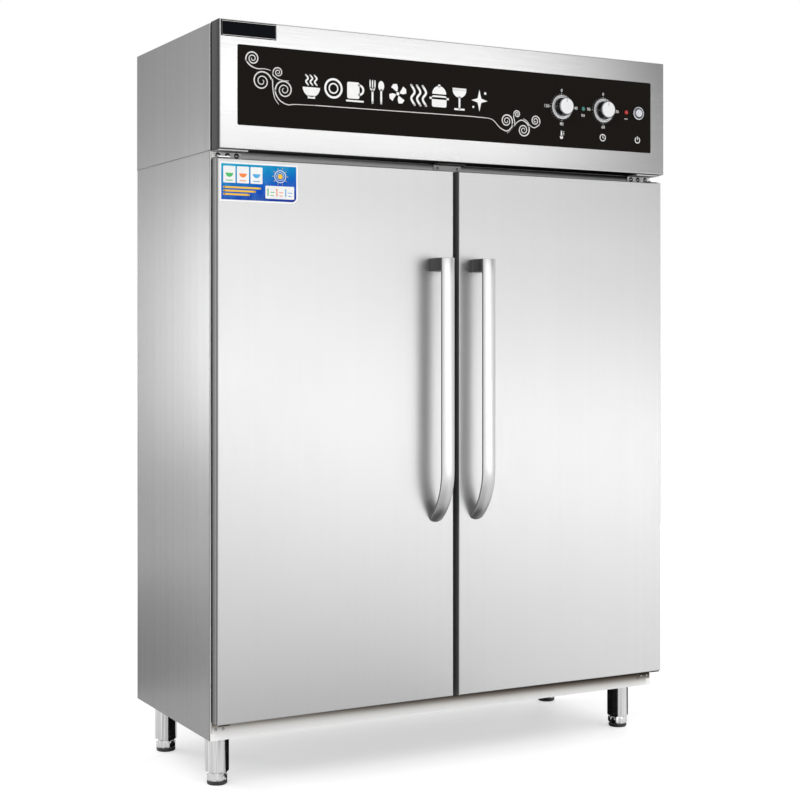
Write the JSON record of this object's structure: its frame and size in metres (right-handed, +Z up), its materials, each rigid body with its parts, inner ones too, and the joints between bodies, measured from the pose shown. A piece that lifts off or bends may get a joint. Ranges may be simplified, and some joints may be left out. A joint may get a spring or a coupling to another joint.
{
  "type": "dish sterilizer cabinet",
  "caption": "Free-standing commercial hot-air dish sterilizer cabinet: stainless carcass on legs, hinged insulated doors with long bar handles, control head with knobs, racks inside.",
  "frame": {"origin": "centre of the bounding box at floor level", "axes": "+Z up; the doors and the control panel face -Y; +X is to the right of a person standing before the doors"},
  "size_m": [1.35, 0.671, 1.9],
  "materials": {
    "brushed_panel": "satin",
    "satin_door": "satin",
    "fascia_steel": "satin",
    "galvanised": "matte",
    "liner_steel": "satin",
    "frame_steel": "satin",
    "bright_steel": "polished",
    "rack_steel": "gloss",
    "black_overlay": "gloss",
    "silver_knob": "satin",
    "dark_block": "satin",
    "green_lens": "gloss",
    "red_lens": "gloss",
    "button_plastic": "gloss",
    "electric_housing": "matte",
    "mineral_wool": "matte",
    "motor_metal": "satin",
    "gasket_rubber": "matte",
    "bush_nylon": "matte",
    "gland_plastic": "satin"
  },
  "bodies": {
    "cabinet": {"side_panel_left": "brushed_panel", "side_panel_right": "brushed_panel", "back_panel": "galvanised", "bottom_pan": "galvanised", "front_sill": "frame_steel", "head_rail": "frame_steel", "frame_stiles": "frame_steel", "centre_post": "frame_steel", "liner_sides": "liner_steel", "liner_back": "liner_steel", "liner_floor": "liner_steel", "liner_ceiling": "liner_steel", "insulation": "mineral_wool", "head_deck": "galvanised", "head_casing": "brushed_panel", "head_front_frame": "galvanised", "head_rear_cover": "galvanised", "cable_gland": "gland_plastic", "head_fascia": "fascia_steel", "control_overlay": "black_overlay", "thermostat": "electric_housing", "timer": "electric_housing", "lamp_green": "green_lens", "lamp_red": "red_lens", "power_switch": "bright_steel", "head_electrics": "electric_housing", "fan_motor": "motor_metal", "fan_grille": "liner_steel", "air_duct": "liner_steel", "heating_elements": "rack_steel", "rack_uprights": "rack_steel", "rack_runners": "rack_steel", "racks_left": "rack_steel", "racks_right": "rack_steel", "leg_tubes": "bright_steel", "hinge_brackets": "rack_steel", "catch_plate": "rack_steel"},
    "door_left": {"door_left_skin": "satin_door", "door_left_liner": "liner_steel", "door_left_core": "mineral_wool", "door_left_gasket": "gasket_rubber", "door_left_bushes": "bush_nylon", "door_left_handle": "bright_steel", "door_left_handle_block": "dark_block"},
    "door_right": {"door_right_skin": "satin_door", "door_right_liner": "liner_steel", "door_right_core": "mineral_wool", "door_right_gasket": "gasket_rubber", "door_right_bushes": "bush_nylon", "door_right_handle": "bright_steel", "door_right_handle_block": "dark_block"},
    "foot_front_left": {"foot_front_left": "bright_steel"},
    "foot_front_right": {"foot_front_right": "bright_steel"},
    "foot_rear_left": {"foot_rear_left": "bright_steel"},
    "foot_rear_right": {"foot_rear_right": "bright_steel"},
    "temperature_knob": {"knob_temperature": "silver_knob"},
    "timer_knob": {"knob_timer": "silver_knob"},
    "button": {"power_button": "button_plastic"},
    "fan": {"fan_impeller": "motor_metal"}
  },
  "joints": [
    {"name": "door_left_swing", "type": "hinge", "parent": "cabinet", "child": "door_left", "pos_m": [-0.659, -0.2475, 0.871], "axis": [0, 0, -1], "range_deg": [0, 120]},
    {"name": "door_right_swing", "type": "hinge", "parent": "cabinet", "child": "door_right", "pos_m": [0.659, -0.2475, 0.871], "axis": [0, 0, 1], "range_deg": [0, 120]},
    {"name": "knob_temperature_turn", "type": "hinge", "parent": "cabinet", "child": "temperature_knob", "pos_m": [0.3257, -0.2793, 1.753], "axis": [0, 1, 0], "range_deg": [0, 270]},
    {"name": "knob_timer_turn", "type": "hinge", "parent": "cabinet", "child": "timer_knob", "pos_m": [0.4644, -0.2793, 1.753], "axis": [0, 1, 0], "range_deg": [0, 270]},
    {"name": "power_button_press", "type": "slide", "parent": "cabinet", "child": "button", "axis": [0, 1, 0], "range_m": [0, 0.003], "stiffness_N_per_m": 400},
    {"name": "fan_spin", "type": "hinge", "parent": "cabinet", "child": "fan", "pos_m": [0, 0.0288, 1.525], "axis": [0, 0, 1], "continuous": true},
    {"name": "foot_front_left_turn", "type": "hinge", "parent": "cabinet", "child": "foot_front_left", "pos_m": [-0.622, -0.1315, 0.015], "axis": [0, 0, 1], "continuous": true},
    {"name": "foot_front_right_turn", "type": "hinge", "parent": "cabinet", "child": "foot_front_right", "pos_m": [0.622, -0.1315, 0.015], "axis": [0, 0, 1], "continuous": true},
    {"name": "foot_rear_left_turn", "type": "hinge", "parent": "cabinet", "child": "foot_rear_left", "pos_m": [-0.622, 0.2375, 0.015], "axis": [0, 0, 1], "continuous": true},
    {"name": "foot_rear_right_turn", "type": "hinge", "parent": "cabinet", "child": "foot_rear_right", "pos_m": [0.622, 0.2375, 0.015], "axis": [0, 0, 1], "continuous": true}
  ]
}
